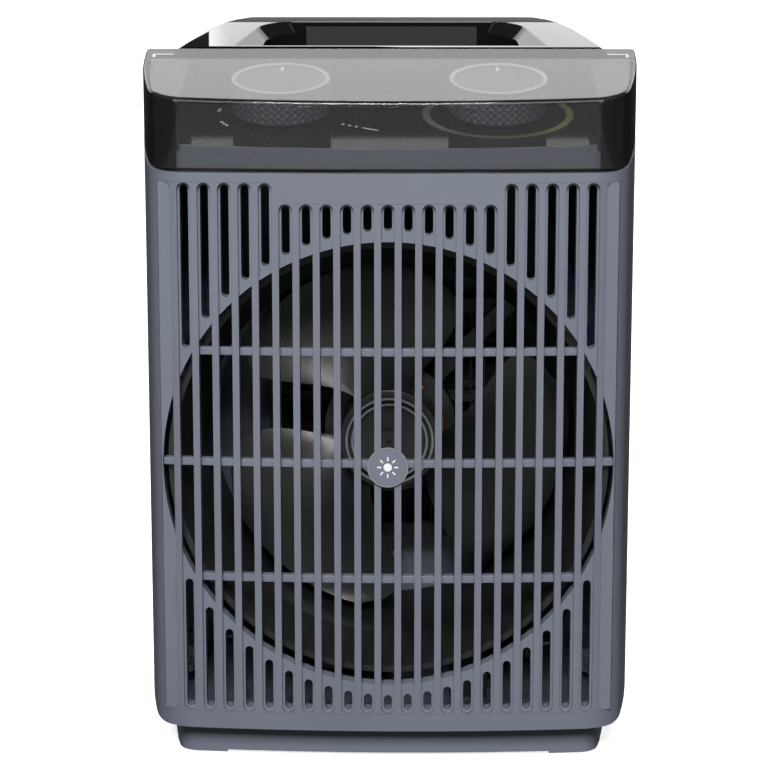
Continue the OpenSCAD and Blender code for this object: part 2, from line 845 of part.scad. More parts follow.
module switch_bush() {
    difference() {
        translate([0, 0, switch_h - 1]) cylinder(r = bush_r, h = -panel_drop - switch_h + 1.2);
        translate([0, 0, switch_h - 2]) cylinder(d = shaft_d + 2 * run_fit, h = 30);
    }
}

module rotary_switch() {
    on_top(-knob_x, knob_l) {
        color(dark) difference() {
            translate([-13, -13, switch_h - 18]) cube([26, 26, 17.9]);
            translate([0, 0, switch_h - 13]) cylinder(d = shaft_d + 1, h = 20);
        }
        color(steel) {
            switch_bush();
            for (x = [-9, -3, 3, 9]) translate([x - 0.4, -3, switch_h - 25]) cube([0.8, 6, 7.5]);
        }
    }
}

module thermostat() {
    on_top(knob_x, knob_l) {
        color([0.85, 0.82, 0.75]) difference() {
            translate([0, 0, switch_h - 12]) cylinder(r = 13, h = 11.9);
            translate([0, 0, switch_h - 13]) cylinder(d = shaft_d + 1, h = 20);
        }
        color(steel) {
            switch_bush();
            for (z = [-16, -20]) translate([-4, -17, switch_h + z + 3.9]) cube([8, 34, 0.8]);
            translate([-4, 12, switch_h - 17]) cube([8, 3, 5.5]);
        }
    }
}

module switch_nuts() {
    color(steel) for (s = [-1, 1]) on_top(s * knob_x, knob_l, -panel_drop + 0.02) difference() {
        cylinder(r = 6.6, h = 0.5, $fn = 6);
        translate([0, 0, -1]) cylinder(r = bush_r + 0.05, h = 4);
    }
}

// ---- Air duct, motor and fan ----

duct_lugs = [for (a = [45 : 90 : 315]) [(duct_r + 5) * cos(a), fan_z + (duct_r + 5) * sin(a)]];

module fan_duct() {
    color([0.45, 0.46, 0.48]) difference() {
        union() {
            rod_y(duct_r + duct_t, duct_d0, duct_d1, 0, fan_z);
            rod_y(flange_r, flange_d, flange_d + 1.5, 0, fan_z);
            translate([0, front_y + flange_d + 0.5, fan_z]) rotate([-90, 0, 0])
                cylinder(r1 = flange_r - 1.5, r2 = duct_r + duct_t, h = duct_d0 - flange_d);
            for (p = duct_lugs) rod_y(4.2, duct_d1 - 8, duct_d1, p[0], p[1]);
        }
        rod_y(duct_r, 0, far, 0, fan_z);
        translate([0, front_y + flange_d - 1.1, fan_z]) rotate([-90, 0, 0])
            cylinder(r1 = flange_r - 2.1, r2 = duct_r, h = duct_d0 - flange_d + 1.2);
        for (p = duct_lugs) rod_y(screw_r + run_fit, duct_d1 - 7, far, p[0], p[1]);
    }
}

motor_screw_at = [for (a = [30 : 120 : 270]) [22 * cos(a), fan_z + 22 * sin(a)]];

module motor_bracket() {
    color(steel) difference() {
        union() {
            rod_y(motor_d / 2 - 1, bracket_d0 + 0.05, bracket_d1, 0, fan_z);
            for (a = [45 : 90 : 315]) translate([0, 0, fan_z]) rotate([0, -a, 0])
                box_d(10, duct_r - 0.4, bracket_d0 + 0.05, bracket_d1, -3.5, 3.5);
        }
        rod_y(6, 0, far, 0, fan_z);
        for (p = motor_screw_at) rod_y(screw_r + 0.1, 0, far, p[0], p[1]);
    }
}

// Screws that hold the bracket's arms to the duct's lugs
module duct_screws() {
    color(steel) for (p = duct_lugs) {
        rod_y(screw_r, duct_d1 - 6.5, duct_d1 + 0.5, p[0], p[1]);
        rod_y(screw_head_r, duct_d1 + 0.02, duct_d1 + 1.8, p[0], p[1]);
    }
}

module motor_screws() {
    color(steel) for (p = motor_screw_at) {
        rod_y(screw_r, motor_d1 - 3.8, bracket_d1 + 0.3, p[0], p[1]);
        rod_y(2.4, bracket_d1 + 0.02, bracket_d1 + 0.9, p[0], p[1]);
    }
}

rotor_r = 13;

module motor_stator() {
    color([0.5, 0.5, 0.52]) difference() {
        rod_y(motor_d / 2, motor_d0 + 3.5, motor_d1, 0, fan_z);
        rod_y(rotor_r + 0.5, 0, motor_d1 - 4, 0, fan_z);
        rod_y(5, 0, far, 0, fan_z);
        for (a = [0 : 60 : 300]) translate([0, 0, fan_z]) rotate([0, -a, 0])
            box_d(rotor_r + 3, motor_d / 2 - 5, motor_d0, motor_d1 - 4.1, -4, 4);
        for (p = motor_screw_at) rod_y(screw_r + run_fit, motor_d1 - 4, far, p[0], p[1]);
    }
}

module motor_winding() {
    color([0.72, 0.42, 0.2]) for (a = [0 : 60 : 300]) translate([0, 0, fan_z]) rotate([0, -a, 0])
        box_d(rotor_r + 3.3, motor_d / 2 - 5.3, motor_d0 + 2, motor_d1 - 4.4, -3.7, 3.7);
}

module motor_rotor() {
    color(steel) difference() {
        rod_y(rotor_r, motor_d0 + 4, motor_d1 - 6, 0, fan_z);
        rod_y(motor_shaft_d / 2, 0, far, 0, fan_z);
    }
}

module motor_shaft() {
    color(steel) rod_y(motor_shaft_d / 2, wheel_d0 + 3, bracket_d1 - 0.5, 0, fan_z);
}

module motor_bearings() {
    color([0.75, 0.6, 0.3]) for (d = [motor_d1 - 4, motor_d0 + 0.6]) difference() {
        rod_y(4.9, d, d + 2.8, 0, fan_z);
        rod_y(motor_shaft_d / 2 + run_fit, 0, far, 0, fan_z);
    }
    color(steel) difference() {
        rod_y(rotor_r + 2, motor_d0 + 0.6, motor_d0 + 1.6, 0, fan_z);
        rod_y(4.9, 0, far, 0, fan_z);
    }
}

// A wide helical blade, from the hub to the tip
module blade() {
    n = 16;
    turn = -85;
    r0 = hub_r - 1;
    r1 = wheel_r;
    rise = wheel_depth - 6;
    t = 2;
    ring = [for (i = [0 : n]) for (q = [[r0, 0], [r1, 0], [r1, t], [r0, t]])
        [q[0] * cos(turn * i / n), q[0] * sin(turn * i / n), q[1] + (rise - t) * i / n]];
    sides = [for (i = [0 : n - 1]) for (k = [0 : 3])
        each [[4 * i + k, 4 * i + 4 + (k + 1) % 4, 4 * i + (k + 1) % 4],
            [4 * i + k, 4 * i + 4 + k, 4 * i + 4 + (k + 1) % 4]]];
    polyhedron(ring, concat([[0, 1, 2, 3]], [[4 * n + 3, 4 * n + 2, 4 * n + 1, 4 * n]], sides));
}

module fan_wheel() {
    color([0.1, 0.1, 0.11]) difference() {
        union() {
            difference() {
                rod_y(hub_r, wheel_d0 + 2, wheel_d1, 0, fan_z);
                rod_y(hub_r - 2.2, wheel_d0 + 5, far, 0, fan_z);
            }
            rod_y(6, wheel_d0 + 2, wheel_d1 - 2, 0, fan_z);
            for (i = [0 : blades - 1]) translate([0, front_y + wheel_d0 + 4, fan_z]) rotate([-90, 0, 0])
                rotate(-i * 360 / blades + 16) blade();
        }
        rod_y(motor_shaft_d / 2, wheel_d0, far, 0, fan_z);
    }
}

module hub_rings() {
    color("silver") for (r = [19, 16.5]) difference() {
        rod_y(r, wheel_d0 + 1, wheel_d0 + 1.98, 0, fan_z);
        rod_y(r - 0.9, 0, far, 0, fan_z);
    }
}

module fan_nut() {
    color(steel) difference() {
        translate([0, front_y + wheel_d0 + 1.98, fan_z]) rotate([90, 0, 0]) cylinder(r = 5.4, h = 2.6, $fn = 6);
        rod_y(1, 0, wheel_d0 + 1, 0, fan_z);
    }
}

// ---- Heating pack ----

fin_half = pack_half - 6;
row_gap = (2 * fin_half - rows * row_h) / (rows + 1);
function row_z(i) = fan_z - fin_half + row_gap + i * (row_gap + row_h);

module heater_frame() {
    color([0.2, 0.18, 0.16]) difference() {
        box_d(-pack_half, pack_half, pack_d0, pack_d1, fan_z - pack_half, fan_z + pack_half);
        box_d(-fin_half - 0.1, fin_half + 0.1, pack_d0 - 1, pack_d1 + 1, fan_z - fin_half - 0.1, fan_z + fin_half + 0.1);
    }
}

module ceramic_rows() {
    color([0.8, 0.78, 0.72]) for (i = [0 : rows - 1])
        box_d(-fin_half + 3, fin_half - 3, pack_d0 + 1.5, pack_d1 - 1.5, row_z(i) + 0.62, row_z(i) + row_h - 0.62);
}

module heater_electrodes() {
    color([0.78, 0.7, 0.45]) for (i = [0 : rows - 1]) for (s = [0, 1])
        box_d(-fin_half, fin_half, pack_d0 + 0.6, pack_d1 - 0.6,
            row_z(i) + s * (row_h - 0.6), row_z(i) + 0.6 + s * (row_h - 0.6));
}

// Folded aluminium strip between neighbouring rows: a square wave
module heater_fins() {
    t = 0.6;
    n = 16;
    step = (2 * fin_half - 2) / n;
    g = row_gap - 0.04;
    color([0.78, 0.79, 0.8]) for (i = [0 : rows]) {
        z = row_z(i) - row_gap + 0.02;
        for (k = [0 : n - 1]) {
            x = -fin_half + 1 + k * step;
            box_d(x, x + t, pack_d0 + 0.8, pack_d1 - 0.8, z, z + g);
            if (k < n - 1) box_d(x, x + step + t, pack_d0 + 0.8, pack_d1 - 0.8,
                k % 2 == 0 ? z : z + g - t, k % 2 == 0 ? z + t : z + g);
        }
    }
}

module thermal_cutout() {
    z = fan_z + pack_half;
    color(dark) translate([18, front_y + pack_d0 + 6, z + 0.05]) cylinder(r = 7.5, h = 6);
    color(steel) for (s = [-1, 1]) translate([18 + s * 4 - 2, front_y + pack_d0 + 5.6, z + 6]) cube([4, 0.8, 6]);
}

module thermal_fuse() {
    z = fan_z + pack_half + 2.2;
    color([0.85, 0.85, 0.82]) translate([-24, front_y + pack_d0 + 6, z]) rotate([0, 90, 0]) cylinder(r = 2, h = 14);
    color(steel) for (x = [-33, -10.02]) translate([x, front_y + pack_d0 + 6, z]) rotate([0, 90, 0]) cylinder(r = 0.6, h = 9);
    color(dark) translate([-20, front_y + pack_d0 + 3, z - 2.15]) difference() {
        cube([6, 6, 3]);
        translate([-1, 3, 2.15]) rotate([0, 90, 0]) cylinder(r = 2.05, h = 10);
    }
}

module terminal_block() {
    x = -34;
    d = pack_d0 - 26;
    z = casing_bottom + wall;
    color([0.9, 0.9, 0.86]) difference() {
        box_d(x, x + 34, d, d + 16, z + 0.05, z + 13);
        for (i = [0 : 3]) {
            translate([x + 4.5 + i * 8.3, front_y + d + 8, z + 5]) cylinder(r = 2.4, h = 20);
            rod_y(1.6, d - 1, d + 17, x + 4.5 + i * 8.3, z + 6);
        }
    }
}

// A lead: an eight-sided tube along its points, upright rings turned to the route
module lead(points, r) {
    n = len(points);
    dirs = [for (i = [0 : n - 1]) let (v = points[min(i + 1, n - 1)] - points[max(i - 1, 0)]) v / norm(v)];
    ring = [for (i = [0 : n - 1]) let (
        u0 = cross(dirs[i], [0, 1, 0]),
        u = u0 / norm(u0),
        w = cross(dirs[i], u)) for (k = [0 : 7]) points[i] + r * (cos(45 * k) * u + sin(45 * k) * w)];
    sides = [for (i = [0 : n - 2]) for (k = [0 : 7]) let (
        a = 8 * i + k,
        b = 8 * i + (k + 1) % 8) each [[a, b, b + 8], [a, b + 8, a + 8]]];
    polyhedron(ring, concat([[7, 6, 5, 4, 3, 2, 1, 0]], [[for (k = [0 : 7]) 8 * (n - 1) + k]], sides));
}

module power_leads() {
    r = 1.1;
    side = duct_r + duct_t + 5.5;
    base_z = casing_bottom + wall + 6;
    y_term = front_y + pack_d0 - 26;
    color([0.2, 0.35, 0.7]) lead([
        [-29.5, y_term - 0.4, base_z], [-29.5, y_term - 8, base_z + 4],
        [-side + 12, y_term - 8, base_z + 12], [-side, y_term - 8, fan_z - 35], [-side, y_term - 8, fan_z + 40],
        [-side + 22, y_term - 8, casing_top - 12], [-knob_x - 4, front_y + knob_l - 2, casing_top - 6.8]], r);
    color([0.5, 0.3, 0.15]) lead([
        [-21.2, y_term - 0.4, base_z], [-21.2, y_term - 12, base_z + 3],
        [side - 14, y_term - 12, base_z + 10], [side, y_term - 12, fan_z - 35], [side, y_term - 12, fan_z + 40],
        [side - 22, y_term - 12, casing_top - 14], [knob_x + 5, front_y + knob_l - 2, casing_top - 5]], r);
}

// ---- Tip-over switch ----

module tip_switch() {
    z = casing_bottom + wall;
    color(dark) difference() {
        translate([plunger_x - 8, front_y + plunger_d - 6, z + 0.05]) cube([16, 12, 22]);
        translate([plunger_x, front_y + plunger_d, 0]) cylinder(r = plunger_r + 1, h = z + 17);
    }
}

module tip_plunger() {
    color([0.85, 0.85, 0.8]) translate([plunger_x, front_y + plunger_d, 0]) {
        translate([0, 0, 0.15]) cylinder(r = plunger_r, h = casing_bottom + wall + 6);
        translate([0, 0, casing_bottom + wall + 5]) cylinder(r = plunger_r + 0.8, h = 1.2);
    }
}

module tip_spring() {
    z0 = casing_bottom + wall + 6.4;
    turns = 4;
    pitch = (10.2) / turns;
    color(steel) translate([plunger_x, front_y + plunger_d, z0]) for (i = [0 : turns - 1])
        translate([0, 0, i * pitch + 0.3]) rotate_extrude($fn = 32) translate([3.3, 0]) circle(r = 0.35, $fn = 16);
}

front_casing();
front_grille();
grille_badge();
badge_rim();
badge_mark();
rear_casing();
intake_grille();
dust_filter();
base_plinth();
rubber_feet();
top_bezel();
control_panel();
dial_ring();
panel_marks();
lid();
lid_hinge_pins();
top_housing();
handle_grip();
power_knob();
power_pointer();
power_shaft();
thermostat_knob();
thermostat_pointer();
thermostat_shaft();
rotary_switch();
thermostat();
switch_nuts();
fan_duct();
motor_bracket();
motor_stator();
motor_winding();
motor_rotor();
motor_shaft();
motor_bearings();
fan_wheel();
hub_rings();
fan_nut();
heater_frame();
heater_fins();
ceramic_rows();
heater_electrodes();
thermal_cutout();
thermal_fuse();
terminal_block();
power_leads();
cord_inlet();
tip_switch();
tip_plunger();
tip_spring();
casing_screws();
motor_screws();
duct_screws();
plinth_screws();
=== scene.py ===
"""Looks for a ceramic space heater: bowed slate body, slotted grille, clear lid, knobs and fan."""
import json
import math

import bpy
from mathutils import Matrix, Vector

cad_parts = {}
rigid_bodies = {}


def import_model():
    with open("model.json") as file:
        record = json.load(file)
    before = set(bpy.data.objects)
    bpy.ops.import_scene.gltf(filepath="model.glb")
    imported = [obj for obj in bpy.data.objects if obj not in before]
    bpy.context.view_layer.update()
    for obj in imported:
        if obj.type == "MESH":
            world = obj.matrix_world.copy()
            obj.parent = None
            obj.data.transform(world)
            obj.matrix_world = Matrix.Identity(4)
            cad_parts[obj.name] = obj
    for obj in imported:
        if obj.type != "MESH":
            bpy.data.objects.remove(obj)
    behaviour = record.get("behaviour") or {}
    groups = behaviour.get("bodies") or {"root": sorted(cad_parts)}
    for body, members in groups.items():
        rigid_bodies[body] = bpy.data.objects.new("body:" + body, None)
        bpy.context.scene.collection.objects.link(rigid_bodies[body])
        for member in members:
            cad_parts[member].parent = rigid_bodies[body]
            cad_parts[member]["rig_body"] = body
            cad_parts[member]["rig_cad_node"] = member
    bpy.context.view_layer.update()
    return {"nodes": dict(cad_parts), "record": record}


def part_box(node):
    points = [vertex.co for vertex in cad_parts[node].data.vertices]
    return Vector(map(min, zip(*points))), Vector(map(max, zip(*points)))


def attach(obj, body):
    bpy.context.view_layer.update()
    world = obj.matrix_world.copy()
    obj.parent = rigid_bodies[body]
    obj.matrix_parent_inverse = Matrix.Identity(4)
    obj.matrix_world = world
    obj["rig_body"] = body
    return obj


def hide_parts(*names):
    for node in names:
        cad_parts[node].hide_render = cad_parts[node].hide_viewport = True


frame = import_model()
MM = 0.001


def edge_mm(node):
    """A CAD node's lowest and highest corners, in millimetres."""
    low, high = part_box(node)
    return low / MM, high / MM


# ---- Sizes in millimetres, taken from the frame ----
lid_low, lid_high = edge_mm("lid")
casing_low, casing_high = edge_mm("front_casing")
rear_low, rear_high = edge_mm("rear_casing")
plinth_low, plinth_high = edge_mm("base_plinth")
knob_low, knob_high = edge_mm("thermostat_knob")
shaft_low, shaft_high = edge_mm("thermostat_shaft")
wheel_low, wheel_high = edge_mm("fan_wheel")
badge_low, badge_high = edge_mm("badge_rim")
grille_low, grille_high = edge_mm("front_grille")

HALF_W = lid_high.x
FRONT = casing_low.y
DEPTH = rear_high.y - FRONT
SLOPE = math.radians(14.5)
TAN, COS, SIN = math.tan(SLOPE), math.cos(SLOPE), math.sin(SLOPE)
CASING_LOW = casing_low.z
FLAT_D = 10
CASING_TOP = casing_high.z - (casing_high.y - FRONT - FLAT_D) * TAN
TOP_Z = CASING_TOP + 28.6
WALL = 2.6
BOW_R, SIDE_R, REAR_R = 750, 210, 600
CORNER_R, REAR_CORNER_R, LOWER_R = 19, 46, 11
SPLIT = 66
LID_L, LID_T, LID_GAP = 71.2, 2.2, 2.5
PIVOT_L, PIVOT_H = LID_L - 4.2, -4
CHEEK_INSET, CHEEK_X = LID_T + 1, HALF_W - 19
PANEL_H, PANEL_T = -20, 1.8
KNOB_D = knob_high.x - knob_low.x
KNOB_X = (knob_high.x + knob_low.x) / 2
KNOB_L, KNOB_H, KNOB_LIFT = 45, 15.2, 0.6
PITCH, SLOT_W, SIDE_SLOTS, SHORT_SLOTS = 8.25, 5.5, 11, 5
SLOT_LOW = 21.7
SLOT_TALL, SLOT_SHORT = CASING_TOP - 4, CASING_TOP - 12.4
SEAM = 0.12
FLOOR_D, FLOOR_T = 7, 2
POCKET_W = 3.4
LEDGE_D = 2.3
OUTLET_R = HALF_W - 10.75
AXIS_Z = SLOT_LOW + 12.05 + OUTLET_R
CROSS_MID = (badge_low.z + badge_high.z) / 2
PART_GAP = 0.3

# ---- Shader maths ----


class Value:
    """A socket, with the sums that materials need."""

    def __init__(self, tree, socket):
        self.tree = tree
        self.socket = socket

    def math(self, operation, *others):
        node = self.tree.nodes.new("ShaderNodeMath")
        node.operation = operation
        for slot, item in zip(node.inputs, (self, *others)):
            if isinstance(item, Value):
                self.tree.links.new(item.socket, slot)
            else:
                slot.default_value = item
        return Value(self.tree, node.outputs[0])

    def __add__(self, other):
        return self.math("ADD", other)

    __radd__ = __add__

    def __mul__(self, other):
        return self.math("MULTIPLY", other)

    __rmul__ = __mul__

    def __sub__(self, other):
        return self.math("SUBTRACT", other)

    def __rsub__(self, other):
        return (self * -1) + other

    def step(self, low, high):
        """0 below low, 1 above high and a ramp between them."""
        return ((self - low) * (1 / (high - low))).math("MINIMUM", 1).math("MAXIMUM", 0)


class Material:
    """A principled material built from procedural nodes on object coordinates."""

    def __init__(self, name, colour, roughness, **constants):
        self.data = bpy.data.materials.new(name)
        self.data.use_nodes = True
        self.tree = self.data.node_tree
        self.shader = self.tree.nodes["Principled BSDF"]
        self.colour = (*colour, 1)
        self.set("Base Color", self.colour)
        self.set("Roughness", roughness)
        for socket, value in constants.items():
            self.set(socket.replace("_", " "), value)
        self.place = self.node("ShaderNodeTexCoord").outputs["Object"]

    def set(self, socket, value):
        if isinstance(value, Value):
            self.tree.links.new(value.socket, self.shader.inputs[socket])
        else:
            self.shader.inputs[socket].default_value = value

    def node(self, kind, settings=None, **inputs):
        made = self.tree.nodes.new(kind)
        for key, value in (settings or {}).items():
            setattr(made, key, value)
        for key, value in inputs.items():
            slot = made.inputs[key.replace("_", " ")]
            if isinstance(value, Value):
                self.tree.links.new(value.socket, slot)
            elif isinstance(value, bpy.types.NodeSocket):
                self.tree.links.new(value, slot)
            else:
                slot.default_value = value
        return made

    def noise(self, scale, detail=2, stretch=None):
        place = self.place
        if stretch:
            place = self.node("ShaderNodeMapping", Vector=place, Scale=stretch).outputs[0]
        made = self.node("ShaderNodeTexNoise", Vector=place, Scale=scale, Detail=detail)
        return Value(self.tree, made.outputs["Fac"])

    def axis(self, which):
        made = self.node("ShaderNodeSeparateXYZ", Vector=self.place)
        return Value(self.tree, made.outputs[which])

    def mix(self, factor, first, second):
        made = self.node("ShaderNodeMix", {"data_type": "RGBA"})
        for slot, item in ((0, factor), (6, first), (7, second)):
            if isinstance(item, Value):
                self.tree.links.new(item.socket, made.inputs[slot])
            else:
                made.inputs[slot].default_value = item
        return Value(self.tree, made.outputs[2])

    def bump(self, height, strength, distance):
        made = self.node("ShaderNodeBump", Strength=strength, Distance=distance, Height=height)
        self.set("Normal", Value(self.tree, made.outputs[0]))
        return self


def shade(colour, factor):
    return tuple(min(c * factor, 1) for c in colour[:3]) + (1,)


def moulded(name, colour, roughness, grain=2600, bump=0.05, **constants):
    """Moulded plastic: fine spark texture, with a faint drift of tone and roughness."""
    made = Material(name, colour, roughness, **constants)
    drift = made.noise(14, 3).step(0.3, 0.7)
    made.set("Base Color", made.mix(drift, shade(colour, 0.95), shade(colour, 1.05)))
    made.set("Roughness", made.noise(60, 2) * 0.1 + (roughness - 0.05))
    return made.bump(made.noise(grain, 2), bump, 0.0001)


def polished(name, colour, roughness, **constants):
    """Polished plastic: faint long waves and hairline wipe marks in the gloss."""
    made = Material(name, colour, roughness, **constants)
    wipe = made.noise(180, 4, (1, 9, 9)).step(0.55, 0.75)
    made.set("Roughness", wipe * 0.03 + roughness)
    drift = made.noise(9, 2)
    made.set("Base Color", made.mix(drift, shade(colour, 0.9), shade(colour, 1.1)))
    return made.bump(made.noise(35, 1), 0.02, 0.0002)


def metal(name, colour, roughness, **constants):
    """Metal with fine drawn lines."""
    made = Material(name, colour, roughness, Metallic=1.0, **constants)
    lines = made.noise(400, 3, (1, 20, 1))
    made.set("Roughness", lines * 0.15 + (roughness - 0.07))
    made.set("Base Color", made.mix(lines, shade(colour, 0.9), shade(colour, 1.06)))
    return made.bump(lines, 0.05, 0.0001)


SLATE = (0.13, 0.146, 0.186)
slate = moulded("slate_plastic", SLATE, 0.42, IOR=1.5)
slate_inner = moulded("slate_inner", SLATE, 0.45)
knob_slate = moulded("knob_slate", (0.07, 0.082, 0.1), 0.5)
# Painted highlight: a light grey, glossier copy for the top of each knob's rim, standing in for the
# bright line of light along it.
rim_painted_highlight = polished("knob_rim_painted_highlight", (0.42, 0.45, 0.5), 0.22)
# Painted shade: a darker, weakly reflecting copy of the ring's gloss black for the rear bar's top,
# standing in for the bar's dark reflection.
bar_painted_shade = polished("bar_painted_shade", (0.004, 0.004, 0.005), 0.12, IOR=1.04)
black_gloss = polished("black_gloss", (0.006, 0.006, 0.007), 0.03, IOR=1.39)
panel_black = polished("panel_black", (0.012, 0.012, 0.013), 0.08, IOR=1.3)
soft_black = moulded("soft_grip", (0.03, 0.03, 0.032), 0.5, grain=1500)
fan_black = moulded("fan_black", (0.012, 0.0125, 0.0135), 0.34, grain=900, bump=0.05)
dull_black = moulded("dull_black", (0.018, 0.018, 0.019), 0.55)
# Painted shade: the duct plastic is set near black, since it is seen only in shade inside the body.
duct_grey = moulded("duct_grey", (0.01, 0.01, 0.011), 0.5)
rubber = moulded("rubber", (0.012, 0.012, 0.013), 0.75, grain=1200, bump=0.3)
white_print = moulded("white_print", (0.75, 0.76, 0.78), 0.35)
terminal_white = moulded("terminal_white", (0.75, 0.74, 0.7), 0.4)
ceramic = moulded("fired_ceramic", (0.62, 0.58, 0.5), 0.7, grain=1800, bump=0.3)
lead_blue = moulded("lead_sleeve", (0.012, 0.02, 0.08), 0.4)
steel = metal("plated_steel", (0.5, 0.5, 0.52), 0.32)
bright = metal("bright_ring", (0.3, 0.31, 0.33), 0.3)
aluminium = metal("fin_aluminium", (0.72, 0.73, 0.75), 0.35)
# Painted shade: a near-black steel for the hinge pins, motor parts, screws and fan nut, which sit in
# shade inside the body and the cheeks.
steel_painted_shade = metal("steel_painted_shade", (0.06, 0.06, 0.063), 0.45)
# Painted shade: a near-black metal for the heater pack, seen only in shade through the grille.
fins_painted_shade = metal("dark_fins_painted_shade", (0.05, 0.048, 0.046), 0.6)
bronze = metal("bronze", (0.55, 0.4, 0.17), 0.35)
copper = metal("winding_copper", (0.6, 0.25, 0.1), 0.35)


def smoked_clear():
    """Polished smoked plastic: clear enough to see the knobs, with a strong gloss."""
    made = polished("smoked_clear", (0.03, 0.03, 0.032), 0.02, IOR=1.6, Alpha=0.28)
    made.data.surface_render_method = "BLENDED"
    facing = Value(made.tree, made.node("ShaderNodeLayerWeight", Blend=0.5).outputs["Facing"])
    made.set("Alpha", facing.math("POWER", 5) * 0.72 + 0.26)
    return made


def dial_print():
    """The dial ring's print: grey on the left that turns to yellow-green on the right."""
    made = Material("dial_print", (0.4, 0.45, 0.15), 0.4)
    across = (made.axis("X") * (1 / MM) - KNOB_X).step(-22, 22)
    grain = made.noise(900, 2)
    warm = made.mix(grain, (0.13, 0.15, 0.025, 1), (0.16, 0.17, 0.035, 1))
    made.set("Base Color", made.mix(across, (0.12, 0.125, 0.125, 1), warm))
    made.set("Roughness", grain * 0.1 + 0.35)
    return made


def woven_gauze():
    """Black woven gauze: fine threads with gaps too small to see through well."""
    made = moulded("gauze", (0.01, 0.01, 0.01), 0.8)
    threads = [(made.axis(way) * (2 * math.pi / (1.2 * MM))).math("SINE") for way in ("X", "Z")]
    holes = threads[0].math("MAXIMUM", threads[1]).step(-0.6, -0.4)
    made.set("Alpha", holes * 0.1 + 0.9)
    return made


gauze = woven_gauze()
clear = smoked_clear()
# Painted shade: a darker, nearly opaque copy of the smoked plastic for the lid's side walls, rounded
# edges, rear end and lower rim, where the lid reads dark.
smoked_edge_painted_shade = polished("smoked_edge_painted_shade", (0.01, 0.01, 0.011), 0.05, IOR=1.3, Alpha=0.95)
dial = dial_print()

# ---- Modelling helpers: everything is drawn in millimetres ----


def only(obj):
    """Makes obj the one selected and active object."""
    if bpy.context.object and bpy.context.object.mode != "OBJECT":
        bpy.ops.object.mode_set(mode="OBJECT")
    bpy.ops.object.select_all(action="DESELECT")
    obj.select_set(True)
    bpy.context.view_layer.objects.active = obj
    return obj


def edit(obj, pick=None):
    """Enters edit mode with the faces that pick(face) chooses, or everything, selected."""
    only(obj)
    bpy.ops.object.mode_set(mode="EDIT")
    bpy.ops.mesh.select_mode(type="FACE")
    bpy.ops.mesh.select_all(action="DESELECT" if pick else "SELECT")
    if pick:
        bpy.ops.object.mode_set(mode="OBJECT")
        for face in obj.data.polygons:
            face.select = bool(pick(face))
        bpy.ops.object.mode_set(mode="EDIT")


def done_editing():
    bpy.ops.object.mode_set(mode="OBJECT")


def loft(name, rings, closed=True):
    """A solid through rings of equally many points, extruded one from the next."""
    bpy.ops.object.select_all(action="DESELECT")
    fill = "NGON" if closed else "NOTHING"
    bpy.ops.mesh.primitive_circle_add(vertices=len(rings[0]), radius=1, fill_type=fill)
    obj = bpy.context.object
    obj.name = obj.data.name = name
    mesh = obj.data
    order = mesh.attributes.new("order", "INT", "POINT")
    order.data.foreach_set("value", list(range(len(rings[0]))))
    for vertex, point in zip(mesh.vertices, rings[0]):
        vertex.co = point
        vertex.select = True
    for ring in rings[1:]:
        bpy.ops.object.mode_set(mode="EDIT")
        bpy.ops.mesh.extrude_region_move()
        bpy.ops.object.mode_set(mode="OBJECT")
        which = mesh.attributes["order"].data
        for vertex in mesh.vertices:
            if vertex.select:
                vertex.co = ring[which[vertex.index].value]
    mesh.attributes.remove(mesh.attributes["order"])
    edit(obj)
    bpy.ops.mesh.normals_make_consistent(inside=False)
    done_editing()
    return obj


def apply(obj, kind, **settings):
    only(obj)
    modifier = obj.modifiers.new(kind, kind)
    for key, value in settings.items():
        setattr(modifier, key, value)
    bpy.ops.object.modifier_apply(modifier=modifier.name)
    return obj


def cut(obj, *cutters, operation="DIFFERENCE"):
    for cutter in cutters:
        apply(obj, "BOOLEAN", object=cutter, operation=operation, solver="EXACT")
        bpy.data.objects.remove(cutter)
    return obj


def soften(obj, width, segments=2, angle=35):
    """Rounds the sharp edges of a moulding."""
    apply(obj, "BEVEL", width=width, segments=segments, limit_method="ANGLE",
          angle_limit=math.radians(angle), harden_normals=False, miter_outer="MITER_ARC")
    return obj


def join(*objects):
    only(objects[0])
    for obj in objects:
        obj.select_set(True)
    bpy.ops.object.join()
    return objects[0]


def slice_off(obj, point, normal):
    """Cuts obj by a plane, drops what lies on the normal's side and closes the cut."""
    edit(obj)
    bpy.ops.mesh.bisect(plane_co=point, plane_no=normal, use_fill=True, clear_outer=True)
    done_editing()
    return obj


def clone(obj, name):
    made = obj.copy()
    made.data = obj.data.copy()
    made.name = made.data.name = name
    bpy.context.scene.collection.objects.link(made)
    return made


def finish_piece(obj, material, body, replaces=(), angle=32):
    """Brings a piece to metres, smooths it, dresses it and hands it to its body."""
    only(obj)
    scale = [[MM if r == c else 0 for c in range(4)] for r in range(3)] + [[0, 0, 0, 1]]
    obj.data.transform(obj.matrix_world)
    obj.matrix_world = [[float(r == c) for c in range(4)] for r in range(4)]
    obj.data.transform(type(obj.matrix_world)(scale))
    obj.data.materials.clear()
    obj.data.materials.append(material.data)
    bpy.ops.object.shade_smooth_by_angle(angle=math.radians(angle))
    apply(obj, "WEIGHTED_NORMAL", keep_sharp=True)
    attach(obj, body)
    if replaces:
        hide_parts(*replaces)
    return obj


# ---- The body's plan outline ----


def meet(p, a, q, b):
    """The right-hand crossing of two circles."""
    v = (q[0] - p[0], q[1] - p[1])
    span = math.hypot(*v)
    t = (a * a - b * b + span * span) / (2 * span)
    k = math.sqrt(a * a - t * t)
    u = (v[0] / span, v[1] / span)
    found = [(p[0] + u[0] * t - s * k * u[1], p[1] + u[1] * t + s * k * u[0]) for s in (1, -1)]
    return max(found)


def bearing(start, end):
    return math.atan2(end[1] - start[1], end[0] - start[0])


